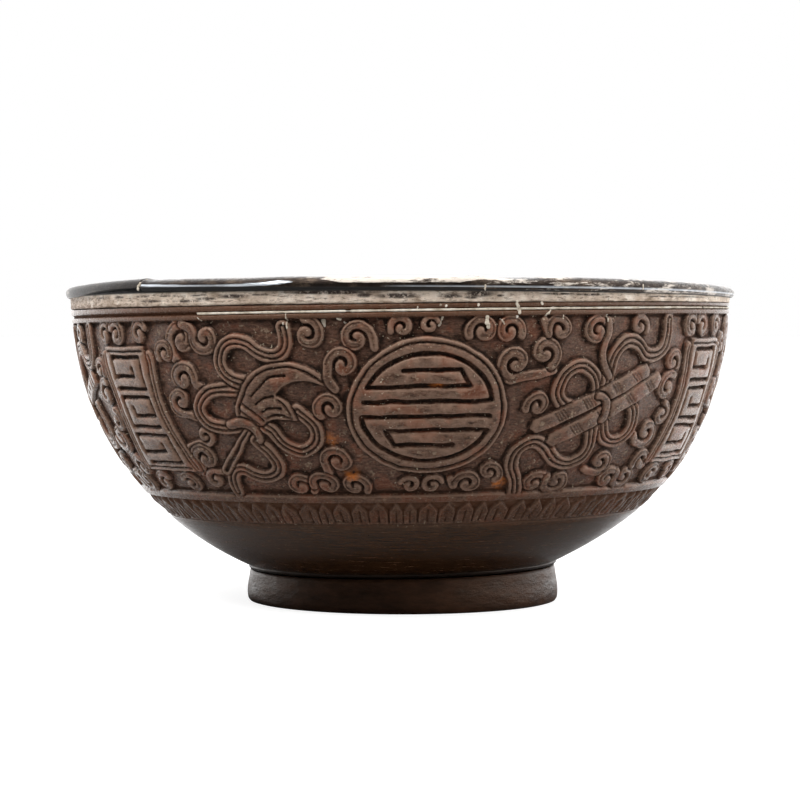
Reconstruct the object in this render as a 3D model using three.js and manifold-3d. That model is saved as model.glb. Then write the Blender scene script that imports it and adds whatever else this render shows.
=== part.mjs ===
// A bowl cut from half a coconut shell and carved round its side, with a thin pewter
// liner, a pewter collar and folded lip at the rim, and a turned foot ring set in lacquer.
// Millimetres, +Z up. The origin is at the middle of the foot's resting face.
import * as THREE from "three";
import { mergeVertices } from "three/addons/utils/BufferGeometryUtils.js";
import Module from "manifold-3d";

const wasm = await Module();
wasm.setup();

// Driving dimensions
const FACETS = 60; // flats round every turned piece, at the same angles on all of them
const WIDEST_Z = 57; // height at which the nut is widest
const CURVE = 2.15; // how full the nut's side is: 2 is an ellipse
const SHELL = { radius: 61.1, depth: 56 };
const SHELL_INSIDE = { radius: 58.1, depth: 50.6 };
const LINER_OUTSIDE = { radius: 57.95, depth: 50.4 };
const LINER_INSIDE = { radius: 57.15, depth: 49.5 };
const BASE_Z = 3.2; // the nut's end, ground flat inside the foot
const SHELL_TOP_Z = 57.6;
const COLLAR_Z = 54.5; // lower edge of the collar, where the shell is rebated for it
const REBATE_RADIUS = 60.2;

// The carved frieze and the turned lines above and below it
const GROUND_DEPTH = 0.9; // how far the carved ground is cut back
const FRIEZE = { low: 22, high: 52.3 };
const RIM_GROOVE = { z: 53.45, width: 0.5, depth: 0.5 };
const LAPPETS = { low: 17.1, high: 20.9, depth: 0.35 };
const MOTIF_Z = 37.4; // height of the middle of every raised motif
const MOTIF_TILT = 21; // how far its face looks down, in degrees
const ROUNDEL = { halfWidth: 13.6, halfHeight: 12.4, drop: 0.4 };
const PANEL = {
  top: 11,
  shoulder: 8.8,
  foot: -12.7,
  halfTop: 6.4,
  halfShoulder: 8.3,
  halfWaist: 7.7,
  halfFoot: 9.2,
};
const MOTIF_ANGLES = [-52.5, 4.2, 63.6, 123, 184, 245.5]; // from the front, towards +X

// Between the motifs, in fields, lie emblems wound about with ribbons, and scrolls. Their places
// are across and up from the middle of the field or motif.
const EMBLEM_ANGLES = [-24, 32, 93, 153.5, 215, 276.5];
const RIBBON_WIDTH = 2.6;
const LEAF_RIBBONS = [
  [[-3.2, 3.4], [-8.8, 3.3], [-12.9, 0], [-9.7, -3.6], [-5, -3.4]],
  [[-2.2, 4.4], [-6.7, 6.9], [-3.7, 11.8], [2.3, 9.1], [5.7, 13]],
  [[6.4, -0.6], [9, -4.6], [5.3, -8], [-0.4, -3.2]],
  [[-2.4, -6.2], [0.6, -10.6], [-3.2, -13.6], [-8, -12], [-9.6, -15.5]],
];
const SLAT_RIBBONS = [
  [[-2.2, -0.6], [-6, 3.9], [-3.2, 6.6], [1.1, 5], [3.1, 1.4]],
  [[4.4, 3.4], [4.9, 7.3], [8.2, 10.9], [14.5, 8.5], [18.5, 12]],
  [[11.2, -0.2], [12.5, -5], [8.6, -7.8], [5, -3.4]],
  [[3, -4.6], [2.7, -10.4], [-2.2, -11.4], [-8.1, -7], [-11, -10.4], [-8.6, -15.4]],
];
const SCROLL_RADIUS = 2.5;
const LEAF_SCROLLS = [[-14.8, 12.1], [-9.8, 12.3], [-15.6, 5.3], [-14.4, -9.9], [9.7, 12.7]];
const SLAT_SCROLLS = [[-14.1, 7.3], [-9, 8.9], [17.2, -6.2], [7.4, -11.8]];

// The rim
const LIP_RADIUS = 62;
const LIP_TOP_Z = 59.2;
const LIP_EDGE_Z = 56.5; // its lower outer edge
const LIP_HEM_Z = 56.3; // its lower inner edge
const LIP_INSIDE_RADIUS = 56.35;
const LIP_SEAM = { angle: -45.7, width: 0.35 };
const STRIP = 0.6; // thickness of the folded strip at its edges
const SLIP_GAP = 0.1; // between the rim's pieces

// The foot
const FOOT = { radius: 29.05, inside: 24.6, top: 6.3 };
const FOOT_SEAT = { radius: FOOT.inside + 0.2, sink: 0.45 }; // where its top starts, under the shell
const JOINT_GAP = 0.12; // between the lacquer and what it holds

// The body leans on its foot, sits a little to one side of it and swells at the right, low down.
// The rim doesn't lean with it: from the turned lines up to the lip it comes back to level, and
// it dips at both sides.
const LEAN = 0.0148;
const LEAN_FULL_Z = 6.3;
const FOOT_SHIFT = 0.5;
const SWAY = { from: 9, full: 17, still: 46, to: 54, reach: 0.2 };
const SWELL = { from: 8.5, full: 17, still: 26, to: 38, reach: 0.7 };
const LEVELLING = { from: 53.9, to: 56.5 };
const RIM_DIP = { from: 54.5, depth: 0.95 };

const rad = THREE.MathUtils.degToRad;

// Radius of a nut-shaped wall at height z
function wallRadius({ radius, depth }, z) {
  const below = Math.max(0, (WIDEST_Z - z) / depth);
  return radius * Math.sqrt(Math.max(0, 1 - below ** CURVE));
}

// Height at which a nut-shaped wall has the given radius
function wallHeight({ radius, depth }, r) {
  return WIDEST_Z - depth * (1 - (r / radius) ** 2) ** (1 / CURVE);
}

// Points up a nut-shaped wall, from one height to another
function wallPoints(wall, fromZ, toZ, steps) {
  const angleAt = (z) => Math.acos(Math.min(1, Math.max(0, (WIDEST_Z - z) / wall.depth)));
  const points = [];
  for (let i = 0; i <= steps; i++) {
    const angle = THREE.MathUtils.lerp(angleAt(fromZ), angleAt(toZ), i / steps);
    const z = WIDEST_Z - wall.depth * Math.cos(angle);
    points.push([wallRadius(wall, z), z]);
  }
  return points;
}

// The ring or bowl that a closed outline makes: it runs up the outside and down the inside
function turned(outline) {
  const points = outline.map(([r, z]) => new THREE.Vector2(r, z));
  return new THREE.LatheGeometry(points, FACETS).rotateX(Math.PI / 2);
}

function closed(outline) {
  return [...outline, outline[0]];
}

function toSolid(geometry) {
  const bare = geometry.index ? geometry.toNonIndexed() : geometry.clone();
  bare.deleteAttribute("normal");
  bare.deleteAttribute("uv");
  const merged = mergeVertices(bare, 1e-4);
  const mesh = new wasm.Mesh({
    numProp: 3,
    vertProperties: new Float32Array(merged.attributes.position.array),
    triVerts: new Uint32Array(merged.index.array),
  });
  return new wasm.Manifold(mesh);
}

function toGeometry(solid) {
  const mesh = solid.getMesh();
  const geometry = new THREE.BufferGeometry();
  geometry.setAttribute("position", new THREE.BufferAttribute(mesh.vertProperties, 3));
  geometry.setIndex(new THREE.BufferAttribute(mesh.triVerts, 1));
  return geometry;
}

// How far z has come from one height to another, from 0 to 1
function share(z, from, to) {
  return THREE.MathUtils.clamp((z - from) / (to - from), 0, 1);
}

// From 0 at both ends of a band of heights to 1 in its middle
function hump(z, { from, full, still, to }) {
  return share(z, from, full) * share(z, to, still);
}

// The body's lean and swell and the rim's own line, given to every piece alike
function settle(geometry) {
  const at = geometry.getAttribute("position");
  for (let i = 0; i < at.count; i++) {
    const x = at.getX(i);
    const z = at.getZ(i);
    const sideways = x / Math.max(1, Math.hypot(x, at.getY(i)));
    const lean = LEAN * x * (share(z, 0, LEAN_FULL_Z) - share(z, LEVELLING.from, LEVELLING.to));
    const dip = RIM_DIP.depth * share(z, RIM_DIP.from, LIP_TOP_Z) * sideways ** 4;
    const swell = SWELL.reach * hump(z, SWELL) * Math.max(0, sideways) ** 2;
    at.setX(i, x + FOOT_SHIFT * (1 - z / LIP_TOP_Z) + SWAY.reach * hump(z, SWAY) + swell);
    at.setZ(i, z + lean - dip);
  }
  return geometry;
}

function piece(name, geometry, material) {
  const settled = settle(geometry);
  settled.computeVertexNormals();
  const mesh = new THREE.Mesh(settled, material);
  mesh.name = name;
  return mesh;
}

const coconut = new THREE.MeshStandardMaterial({ color: 0x46332d, roughness: 0.42 });
const footWood = new THREE.MeshStandardMaterial({ color: 0x33231e, roughness: 0.38 });
const lacquer = new THREE.MeshStandardMaterial({ color: 0x1c1412, roughness: 0.3 });
const linerPewter = new THREE.MeshStandardMaterial({
  color: 0x8f8b84,
  roughness: 0.45,
  metalness: 0.9,
});
const collarPewter = new THREE.MeshStandardMaterial({
  color: 0xb9ada0,
  roughness: 0.7,
  metalness: 0.5,
});
const lipPewter = new THREE.MeshStandardMaterial({
  color: 0x77706a,
  roughness: 0.3,
  metalness: 0.9,
});

// The coconut shell

// Up the outside of the shell, with the frieze cut back and the turned lines
function shellOutside() {
  const cutBack = (z, depth) => [wallRadius(SHELL, z) - depth, z];
  const frieze = wallPoints(SHELL, FRIEZE.low, FRIEZE.high, 5);
  const halfGroove = RIM_GROOVE.width / 2;
  return [
    [0, BASE_Z],
    ...wallPoints(SHELL, BASE_Z, LAPPETS.low, 5),
    cutBack(LAPPETS.low + LAPPETS.depth, LAPPETS.depth),
    cutBack(LAPPETS.high - LAPPETS.depth, LAPPETS.depth),
    cutBack(LAPPETS.high, 0),
    cutBack(FRIEZE.low, 0),
    cutBack(FRIEZE.low + GROUND_DEPTH / 2, GROUND_DEPTH),
    ...frieze.slice(1, -1).map(([, z]) => cutBack(z, GROUND_DEPTH)),
    cutBack(FRIEZE.high - GROUND_DEPTH / 3, GROUND_DEPTH),
    cutBack(FRIEZE.high, 0),
    cutBack(RIM_GROOVE.z - halfGroove, 0),
    cutBack(RIM_GROOVE.z, RIM_GROOVE.depth),
    cutBack(RIM_GROOVE.z + halfGroove, 0),
    cutBack(COLLAR_Z, 0),
    [REBATE_RADIUS, COLLAR_Z],
    [REBATE_RADIUS, SHELL_TOP_Z],
  ];
}

function shellBlank() {
  const inside = wallPoints(SHELL_INSIDE, WIDEST_Z - SHELL_INSIDE.depth, WIDEST_Z, 10);
  return turned([...shellOutside(), [SHELL_INSIDE.radius, SHELL_TOP_Z], ...inside.reverse()]);
}

// The layer of shell between the carved ground and the untouched surface
function friezeLayer() {
  const face = wallPoints(SHELL, FRIEZE.low + GROUND_DEPTH, FRIEZE.high - GROUND_DEPTH, 4);
  const back = face.map(([r, z]) => [r - 2 * GROUND_DEPTH, z]).reverse();
  return toSolid(turned(closed([...face, ...back])));
}

function roundelShape() {
  const shape = new THREE.Shape();
  const { halfWidth, halfHeight, drop } = ROUNDEL;
  shape.absellipse(0, -drop, halfWidth, halfHeight, 0, 2 * Math.PI);
  return shape;
}

// An upright panel with a waist and a wide foot, whose upper corners are stepped in
function panelShape() {
  const { top, shoulder, foot, halfTop, halfShoulder, halfWaist, halfFoot } = PANEL;
  const shape = new THREE.Shape();
  shape.moveTo(-halfFoot, foot);
  shape.lineTo(halfFoot, foot);
  shape.quadraticCurveTo(2 * halfWaist - (halfFoot + halfShoulder) / 2, 0, halfShoulder, shoulder);
  shape.lineTo(halfTop, shoulder);
  shape.lineTo(halfTop, top);
  shape.lineTo(-halfTop, top);
  shape.lineTo(-halfTop, shoulder);
  shape.lineTo(-halfShoulder, shoulder);
  shape.quadraticCurveTo((halfFoot + halfShoulder) / 2 - 2 * halfWaist, 0, -halfFoot, foot);
  return shape;
}

function polygon(points) {
  return new THREE.Shape(points.map(([x, y]) => new THREE.Vector2(x, y)));
}

// A band along a smooth line through the points, as wide all the way
function bandShape(points, width) {
  const line = new THREE.SplineCurve(points.map(([x, y]) => new THREE.Vector2(x, y)));
  const steps = points.length > 2 ? points.length : 1;
  const left = [];
  const right = [];
  for (let i = 0; i <= steps; i++) {
    const at = line.getPoint(i / steps);
    const along = line.getTangent(i / steps);
    const aside = new THREE.Vector2(-along.y, along.x).multiplyScalar(width / 2);
    left.push(at.clone().add(aside));
    right.unshift(at.clone().sub(aside));
  }
  return new THREE.Shape([...left, ...right]);
}

function scrollShape([x, y]) {
  const shape = new THREE.Shape();
  shape.absarc(x, y, SCROLL_RADIUS, 0, 2 * Math.PI);
  return shape;
}

// The emblems, in turn

function leafFan() {
  const leaf = [
    [-5.5, -1.9], [-4.1, 2.7], [-0.6, 6.6], [5, 8.1], [10.4, 6.4], [14.1, 3], [8.6, 4.7], [4.4, 3.8],
    [3, 2.5], [5.6, -0.2], [5.7, -2.3], [-0.9, -3.4],
  ];
  return [polygon(leaf), bandShape([[-3.6, -4.2], [-10.3, -12.1]], 1.8)];
}

function clappers() {
  return [
    bandShape([[-8.6, -4.2], [13.9, 5.6]], 2.9),
    bandShape([[-4.9, -6.9], [17.6, 4]], 2.9),
  ];
}

function gourd() {
  const tilt = rad(28);
  const middle = new THREE.Vector2(0.8, 0.4);
  const steps = 16;
  const points = [];
  for (let i = 0; i < steps; i++) {
    const turn = (i / steps) * 2 * Math.PI;
    const half = 4.6 * (1 + 0.16 * Math.cos(2 * turn)) * (1 - 0.22 * Math.cos(turn));
    const point = new THREE.Vector2(half * Math.sin(turn), 7.2 * Math.cos(turn)).add(middle);
    points.push(point.rotateAround(middle, tilt));
  }
  return [new THREE.Shape(points), bandShape([[-2.6, 6.6], [-5.2, 8.8]], 1.2)];
}

function sword() {
  return [
    bandShape([[-10.6, -5.6], [11.5, 4.8]], 2.8),
    bandShape([[10.8, 7.4], [13.2, 2.6]], 1.5),
    bandShape([[12.6, 5.3], [16.8, 7.2]], 2),
  ];
}

// A flower whose petals open in a half circle, on a bent stem
function lotus() {
  const foot = [0.8, -2.4];
  const petals = 7;
  const outline = [foot];
  for (let i = 0; i <= 2 * petals; i++) {
    const lean = rad(98 - (i * 98) / petals);
    const reach = i % 2 === 1 ? 7.4 : 5.4;
    outline.push([foot[0] + reach * Math.sin(lean), foot[1] + reach * Math.cos(lean)]);
  }
  return [polygon(outline), bandShape([[0.4, -2.6], [-6.2, -8.2], [-10.3, -12.1]], 1.6)];
}

function flute() {
  return [bandShape([[-9.6, -5.2], [15.6, 5.6]], 2.7)];
}

// A plug of the shape, pushed through the wall at an angle round the bowl
function motifPlug(shape, angle, curveSegments) {
  const reach = 20;
  const plug = new THREE.ExtrudeGeometry(shape, { depth: reach, bevelEnabled: false, curveSegments });
  plug.translate(0, 0, -reach / 2);
  plug.rotateX(Math.PI / 2 + rad(MOTIF_TILT));
  plug.translate(0, -wallRadius(SHELL, MOTIF_Z), MOTIF_Z);
  plug.rotateZ(rad(angle));
  return toSolid(plug);
}

function carvedShell() {
  const layer = friezeLayer();
  let shell = toSolid(shellBlank());
  const leaveStanding = (shape, angle, curveSegments) => {
    shell = shell.add(motifPlug(shape, angle, curveSegments).intersect(layer));
  };
  MOTIF_ANGLES.forEach((angle, i) => {
    const isRoundel = i % 2 === 1;
    leaveStanding(isRoundel ? roundelShape() : panelShape(), angle, isRoundel ? 10 : 2);
  });
  [leafFan, clappers, gourd, sword, lotus, flute].forEach((emblem, i) => {
    const angle = EMBLEM_ANGLES[i];
    const ribbons = i % 2 === 0 ? LEAF_RIBBONS : SLAT_RIBBONS;
    const scrolls = i % 2 === 0 ? LEAF_SCROLLS : SLAT_SCROLLS;
    emblem().forEach((shape) => leaveStanding(shape, angle, 1));
    ribbons.forEach((points) => leaveStanding(bandShape(points, RIBBON_WIDTH), angle, 1));
    scrolls.forEach((place) => leaveStanding(scrollShape(place), angle, 3));
  });
  return toGeometry(shell);
}

// The pewter

function liner() {
  const outside = wallPoints(LINER_OUTSIDE, WIDEST_Z - LINER_OUTSIDE.depth, WIDEST_Z, 10);
  const inside = wallPoints(LINER_INSIDE, WIDEST_Z - LINER_INSIDE.depth, WIDEST_Z, 10);
  const top = [
    [LINER_OUTSIDE.radius, SHELL_TOP_Z + SLIP_GAP],
    [LINER_INSIDE.radius, SHELL_TOP_Z + SLIP_GAP],
  ];
  return turned([...outside, ...top, ...inside.reverse()]);
}

// A band whose face is nearly flush with the nut, and leans in where the lip goes over it
function collar() {
  const inside = REBATE_RADIUS + SLIP_GAP;
  const low = COLLAR_Z + SLIP_GAP;
  const high = SHELL_TOP_Z + SLIP_GAP;
  return turned(
    closed([
      [SHELL.radius - 0.1, low],
      [SHELL.radius + 0.05, low + 1.2],
      [SHELL.radius + 0.1, high - 0.8],
      [SHELL.radius - 0.3, high],
      [inside, high],
      [inside, low],
    ]),
  );
}

// A strip folded over the rim like a binding, its two ends meeting at a seam
function lip() {
  const middle = (LIP_RADIUS + LIP_INSIDE_RADIUS) / 2;
  const edge = { radius: LIP_RADIUS - 0.25, z: LIP_EDGE_Z };
  const under = LIP_TOP_Z - 0.95;
  const strip = turned(
    closed([
      [edge.radius, edge.z],
      [LIP_RADIUS, edge.z + 0.75],
      [LIP_RADIUS - 0.3, LIP_TOP_Z - 0.95],
      [middle + 1.4, LIP_TOP_Z - 0.1],
      [middle, LIP_TOP_Z],
      [middle - 1.6, LIP_TOP_Z - 0.15],
      [LIP_INSIDE_RADIUS + 0.25, LIP_TOP_Z - 1],
      [LIP_INSIDE_RADIUS, LIP_TOP_Z - 1.8],
      [LIP_INSIDE_RADIUS, LIP_HEM_Z],
      [LIP_INSIDE_RADIUS + STRIP, LIP_HEM_Z],
      [LIP_INSIDE_RADIUS + STRIP, SHELL_TOP_Z],
      [LIP_INSIDE_RADIUS + 1.05, under],
      [LIP_RADIUS - 1.3, under],
      [LIP_RADIUS - STRIP + 0.05, SHELL_TOP_Z],
      [edge.radius - 0.35, edge.z],
    ]),
  );
  const seam = new THREE.BoxGeometry(LIP_SEAM.width, 10, 6);
  seam.translate(0, -middle, LIP_TOP_Z - 2);
  seam.rotateZ(rad(LIP_SEAM.angle));
  return toGeometry(toSolid(strip).subtract(toSolid(seam)));
}

// The foot

// Height of the foot's sloping top at a radius
function footTop(radius) {
  const low = wallHeight(SHELL, FOOT_SEAT.radius) - FOOT_SEAT.sink;
  return low + share(radius, FOOT_SEAT.radius, FOOT.radius - 0.5) * (FOOT.top - low);
}

function footRing() {
  return turned(
    closed([
      [FOOT.radius - 0.9, 0],
      [FOOT.radius - 0.3, 0.5],
      [FOOT.radius, 1.8],
      [FOOT.radius - 0.25, 3.6],
      [FOOT.radius - 0.45, 5.2],
      [FOOT.radius - 0.5, FOOT.top],
      [FOOT_SEAT.radius, footTop(FOOT_SEAT.radius)],
      [FOOT.inside, footTop(FOOT_SEAT.radius) - 0.3],
      [FOOT.inside, 0.5],
      [FOOT.inside + 0.5, 0],
    ]),
  );
}

// The lacquer putty between the foot and the shell, which shows as a dark fillet
function footLacquer() {
  const inner = FOOT.inside + 0.8;
  const outer = FOOT.radius - 0.6;
  const bead = FOOT.radius + 0.05;
  return turned(
    closed([
      [outer, footTop(outer) + JOINT_GAP],
      [bead, FOOT.top + 0.55],
      [bead, wallHeight(SHELL, bead) - JOINT_GAP],
      [inner, wallHeight(SHELL, inner) - JOINT_GAP],
      [inner, footTop(inner) + JOINT_GAP],
    ]),
  );
}

const bowl = new THREE.Group();
bowl.add(
  piece("coconut_shell", carvedShell(), coconut),
  piece("pewter_liner", liner(), linerPewter),
  piece("rim_collar", collar(), collarPewter),
  piece("rim_lip", lip(), lipPewter),
  piece("foot_ring", footRing(), footWood),
  piece("foot_lacquer", footLacquer(), lacquer),
);

export default bowl;
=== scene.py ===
import math

import bmesh
import bpy
import numpy as np
from mathutils import Matrix


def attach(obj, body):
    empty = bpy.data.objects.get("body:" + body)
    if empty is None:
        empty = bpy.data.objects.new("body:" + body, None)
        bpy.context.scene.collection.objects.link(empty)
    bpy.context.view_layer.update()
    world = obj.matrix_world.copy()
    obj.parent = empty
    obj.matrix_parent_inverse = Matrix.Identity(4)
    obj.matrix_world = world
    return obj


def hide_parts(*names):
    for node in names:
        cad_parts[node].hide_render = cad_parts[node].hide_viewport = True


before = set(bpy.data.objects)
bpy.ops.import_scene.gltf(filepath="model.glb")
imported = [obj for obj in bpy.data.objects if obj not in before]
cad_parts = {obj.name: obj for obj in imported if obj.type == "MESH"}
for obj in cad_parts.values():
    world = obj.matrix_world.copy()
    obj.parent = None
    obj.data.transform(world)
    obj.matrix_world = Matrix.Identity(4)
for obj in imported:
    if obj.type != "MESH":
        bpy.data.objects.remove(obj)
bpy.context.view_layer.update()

# The bowl's form, in millimetres, as its solids have it
MM = 0.001
WIDEST_Z = 57.0
CURVE = 2.15  # how full the nut's side is: 2 is an ellipse
WALL_RADIUS = 61.1
WALL_DEPTH = 56.0
INSIDE_RADIUS = 58.1
INSIDE_DEPTH = 50.6
LINER_OUT = (57.95, 50.4)
LINER_IN = (57.15, 49.5)
BASE_Z = 3.2
SHELL_TOP_Z = 57.6
COLLAR_Z = 54.5
REBATE_RADIUS = 60.2
FRIEZE_LOW = 22.0
FRIEZE_HIGH = 52.3
BORDER_LOW = 17.1
BORDER_HIGH = 20.9
GROOVE_Z = 53.45
MOTIF_Z = 37.4  # heights on the carving are measured along the wall from here
LIP_TOP_Z = 59.2
LIP_SEAM = -45.7  # degrees from the front, towards the right

# The body leans on its foot, swells a little at the right and has a level rim that dips at its sides
LEAN = 0.0148
LEAN_FULL_Z = 6.3
FOOT_SHIFT = 0.5
LEVELLING = (53.9, 56.5)
RIM_DIP = 0.95
DIP_FROM_Z = 54.5
# How far it goes sideways, and the heights between which that grows, stays and fades
SWAY = (0.2, 9, 17, 46, 54)
SWELL = (0.7, 8.5, 17, 26, 38)

# The carving
GROUND = 0.9  # depth of the cut-back ground
FLANK = 0.22  # width of a stroke's sloping side
TRENCH = 0.22  # width of the cut that sets a stroke off from what it crosses
TRENCH_DEPTH = 0.72 * GROUND
LANE_DEPTH = 0.45
LANE_MARGIN = 0.15  # how far from its edge a stroke's lanes stop
MOTIF_ANGLES = [-52.5, 4.2, 63.6, 123, 184, 245.5]  # panels and roundels in turn
SCROLL_SPREAD = 1.36  # a scroll's outer radius to the size it is listed with
SCROLL_BAND = 0.48  # its band's width to that radius
SCROLL_TURNS = 1.05
SCROLL_END = 0.35  # radius at which it ends
GROOVED_RADIUS = 2.7  # the larger scrolls have a groove along their band
LAPPETS = 93
BORDER_DEPTH = 0.65

# The carving's lower and upper ends along the wall, and how finely it and its mesh are worked out
CARVE_LOW = -26.5
CARVE_HIGH = 17.4
CELL = 0.1
COLUMNS = 3600
SPIN_STEPS = 1800
ROW_STEP = 0.2


def wall_radius(z, widest=WALL_RADIUS, depth=WALL_DEPTH):
    """Radius of the outer wall, or of another bowl shape, at a height."""
    below = np.clip(WIDEST_Z - z, 0, None) / depth
    return widest * np.sqrt(np.clip(1 - below ** CURVE, 0, 1))


# A fine table of the wall: height, radius and length along it from the motifs' middle
TABLE_Z = np.linspace(BASE_Z, SHELL_TOP_Z, 4000)
TABLE_R = wall_radius(TABLE_Z)
TABLE_Y = np.concatenate([[0], np.cumsum(np.hypot(np.diff(TABLE_Z), np.diff(TABLE_R)))])
TABLE_Y -= np.interp(MOTIF_Z, TABLE_Z, TABLE_Y)

row_y = np.arange(CARVE_LOW, CARVE_HIGH, CELL)
row_z = np.interp(row_y, TABLE_Y, TABLE_Z)
row_r = np.interp(row_y, TABLE_Y, TABLE_R)
column_angle = np.arange(COLUMNS) * 2 * math.pi / COLUMNS

# Height of the surface over the untouched wall, for every place on the carved band
relief = np.zeros((len(row_y), COLUMNS))


def smooth(value):
    """An S-curve from 0 to 1."""
    value = np.clip(value, 0, 1)
    return value * value * (3 - 2 * value)


def share(value, low, high):
    """How far a value has come from low to high, from 0 to 1."""
    return np.clip((value - low) / (high - low), 0, 1)


def waves(angle, seed, counts, fade=0.7):
    """A smooth random wave round the bowl, between -1 and 1."""
    dice = np.random.default_rng(seed)
    total = np.zeros_like(angle)
    for i, count in enumerate(counts):
        total += fade ** i * np.sin(count * angle + dice.uniform(0, 2 * math.pi))
    return total * (1 - fade)


def blurred(values, reach):
    """A box blur that wraps round the bowl, run twice."""
    for _ in range(2):
        wide = np.concatenate([values[:, -reach:], values, values[:, :reach]], axis=1)
        sums = np.cumsum(np.pad(wide, ((0, 0), (1, 0))), axis=1)
        values = (sums[:, 2 * reach + 1:] - sums[:, :-2 * reach - 1]) / (2 * reach + 1)
        tall = np.pad(values, ((reach, reach), (0, 0)), mode="edge")
        sums = np.cumsum(np.pad(tall, ((1, 0), (0, 0))), axis=0)
        values = (sums[2 * reach + 1:] - sums[:-2 * reach - 1]) / (2 * reach + 1)
    return values


def uneven(seed, size, amount):
    """A smooth random field over the relief, with bumps about size millimetres across."""
    field = blurred(np.random.default_rng(seed).normal(size=relief.shape), max(1, round(size / CELL / 3)))
    return amount * field / field.std()


# How far the hand strayed across and along the wall as it cut
stray_x = uneven(61, 2.6, 0.07)
stray_y = uneven(62, 2.6, 0.07)


def curve_through(points, steps=7):
    """A Catmull-Rom curve through the points."""
    p = np.array(points, float)
    if len(p) < 3:
        return p
    ends = np.vstack([2 * p[0] - p[1], p, 2 * p[-1] - p[-2]])
    t = np.linspace(0, 1, steps, endpoint=False)[:, None]
    spans = []
    for a, b, c, d in zip(ends, ends[1:], ends[2:], ends[3:]):
        spans.append(0.5 * (2 * b + (c - a) * t + (2 * a - 5 * b + 4 * c - d) * t ** 2
                            + (3 * b - a - 3 * c + d) * t ** 3))
    return np.vstack(spans + [p[-1:]])


def patch(angle, path, margin):
    """The part of the relief round a path: its cells, and their places in the field's millimetres."""
    low, high = path.min(axis=0) - margin, path.max(axis=0) + margin
    rows = np.arange(max(0, int((low[1] - CARVE_LOW) / CELL)),
                     min(len(row_y), int((high[1] - CARVE_LOW) / CELL) + 2))
    reach = row_r[rows].min()
    turn = 2 * math.pi / COLUMNS
    start = math.radians(angle)
    columns = np.arange(int((start + low[0] / reach) / turn) - 1, int((start + high[0] / reach) / turn) + 2)
    cells = np.ix_(rows, columns % COLUMNS)
    x = (columns[None, :] * turn - start) * row_r[rows][:, None] + stray_x[cells]
    y = row_y[rows][:, None] + stray_y[cells]
    return cells, x, y


def edge_distance(x, y, path, halves):
    """How far each place lies outside the edge of a stroke; less than 0 inside it."""
    edge = np.full(x.shape, 9.0)
    for (ax, ay), (bx, by), wide_a, wide_b in zip(path, path[1:], halves, halves[1:]):
        dx, dy = bx - ax, by - ay
        along = np.clip(((x - ax) * dx + (y - ay) * dy) / (dx * dx + dy * dy + 1e-9), 0, 1)
        gap = np.hypot(x - ax - along * dx, y - ay - along * dy) - (wide_a + (wide_b - wide_a) * along)
        np.minimum(edge, gap, out=edge)
    return edge


def set_into(cells, edge, body, trench):
    """Writes a raised body into the relief, with a trench to the ground round its edge."""
    old = relief[cells]
    cover = smooth((trench + FLANK / 2 - edge) / FLANK)
    flank = smooth(0.5 - edge / FLANK)
    floor = np.minimum(old, -TRENCH_DEPTH)
    base = old * (1 - cover) + floor * cover
    relief[cells] = base * (1 - flank) + body * flank


def raise_stroke(angle, points, width, top=0.0, lanes=1, crown=0.08, end_width=None, straight=False):
    """Leaves a band standing along the points, with a trench round it and lanes along it."""
    path = np.array(points, float) if straight else curve_through(points)
    if not straight:
        for _ in range(8):
            path[1:-1] = 0.5 * path[1:-1] + 0.25 * (path[:-2] + path[2:])
    halves = np.linspace(width, width if end_width is None else end_width, len(path)) / 2
    cells, x, y = patch(angle, path, width / 2 + TRENCH + FLANK)
    edge = edge_distance(x, y, path, halves)
    half = width / 2
    from_middle = np.clip(half + edge, 0, half)
    body = top - crown * (from_middle / half) ** 3
    if lanes > 1:
        wave = np.cos(2 * math.pi * from_middle * lanes / width + (math.pi if lanes % 2 == 0 else 0))
        body = body - LANE_DEPTH * smooth(0.1 - wave / 1.1) * (from_middle < half - LANE_MARGIN)
    set_into(cells, edge, body, TRENCH)


def raise_shape(angle, outline, top=0.0, crown=0.0, trench=TRENCH):
    """Leaves a shape standing inside a closed outline."""
    path = np.vstack([outline, outline[:1]])
    cells, x, y = patch(angle, path, trench + FLANK)
    edge = np.abs(edge_distance(x, y, path, np.zeros(len(path))))
    inside = np.zeros(x.shape, bool)
    for (ax, ay), (bx, by) in zip(path, path[1:]):
        if ay != by:
            inside ^= ((ay > y) != (by > y)) & (x < (bx - ax) * (y - ay) / (by - ay) + ax)
    edge = np.where(inside, -edge, edge)
    body = top - crown * np.exp(np.clip(edge, -9, 0) / 1.2)
    set_into(cells, edge, body, trench)


def cut_groove(angle, points, width, depth=0.6, end_width=None):
    """Cuts a groove along the points, down to a depth under the untouched wall."""
    path = np.array(points, float)
    halves = np.linspace(width, width if end_width is None else end_width, len(path)) / 2
    cells, x, y = patch(angle, path, width / 2 + FLANK)
    edge = edge_distance(x, y, path, halves)
    cut = smooth(0.5 - edge / min(FLANK, 0.8 * width))
    relief[cells] = relief[cells] * (1 - cut) + np.minimum(relief[cells], -depth) * cut


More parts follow.
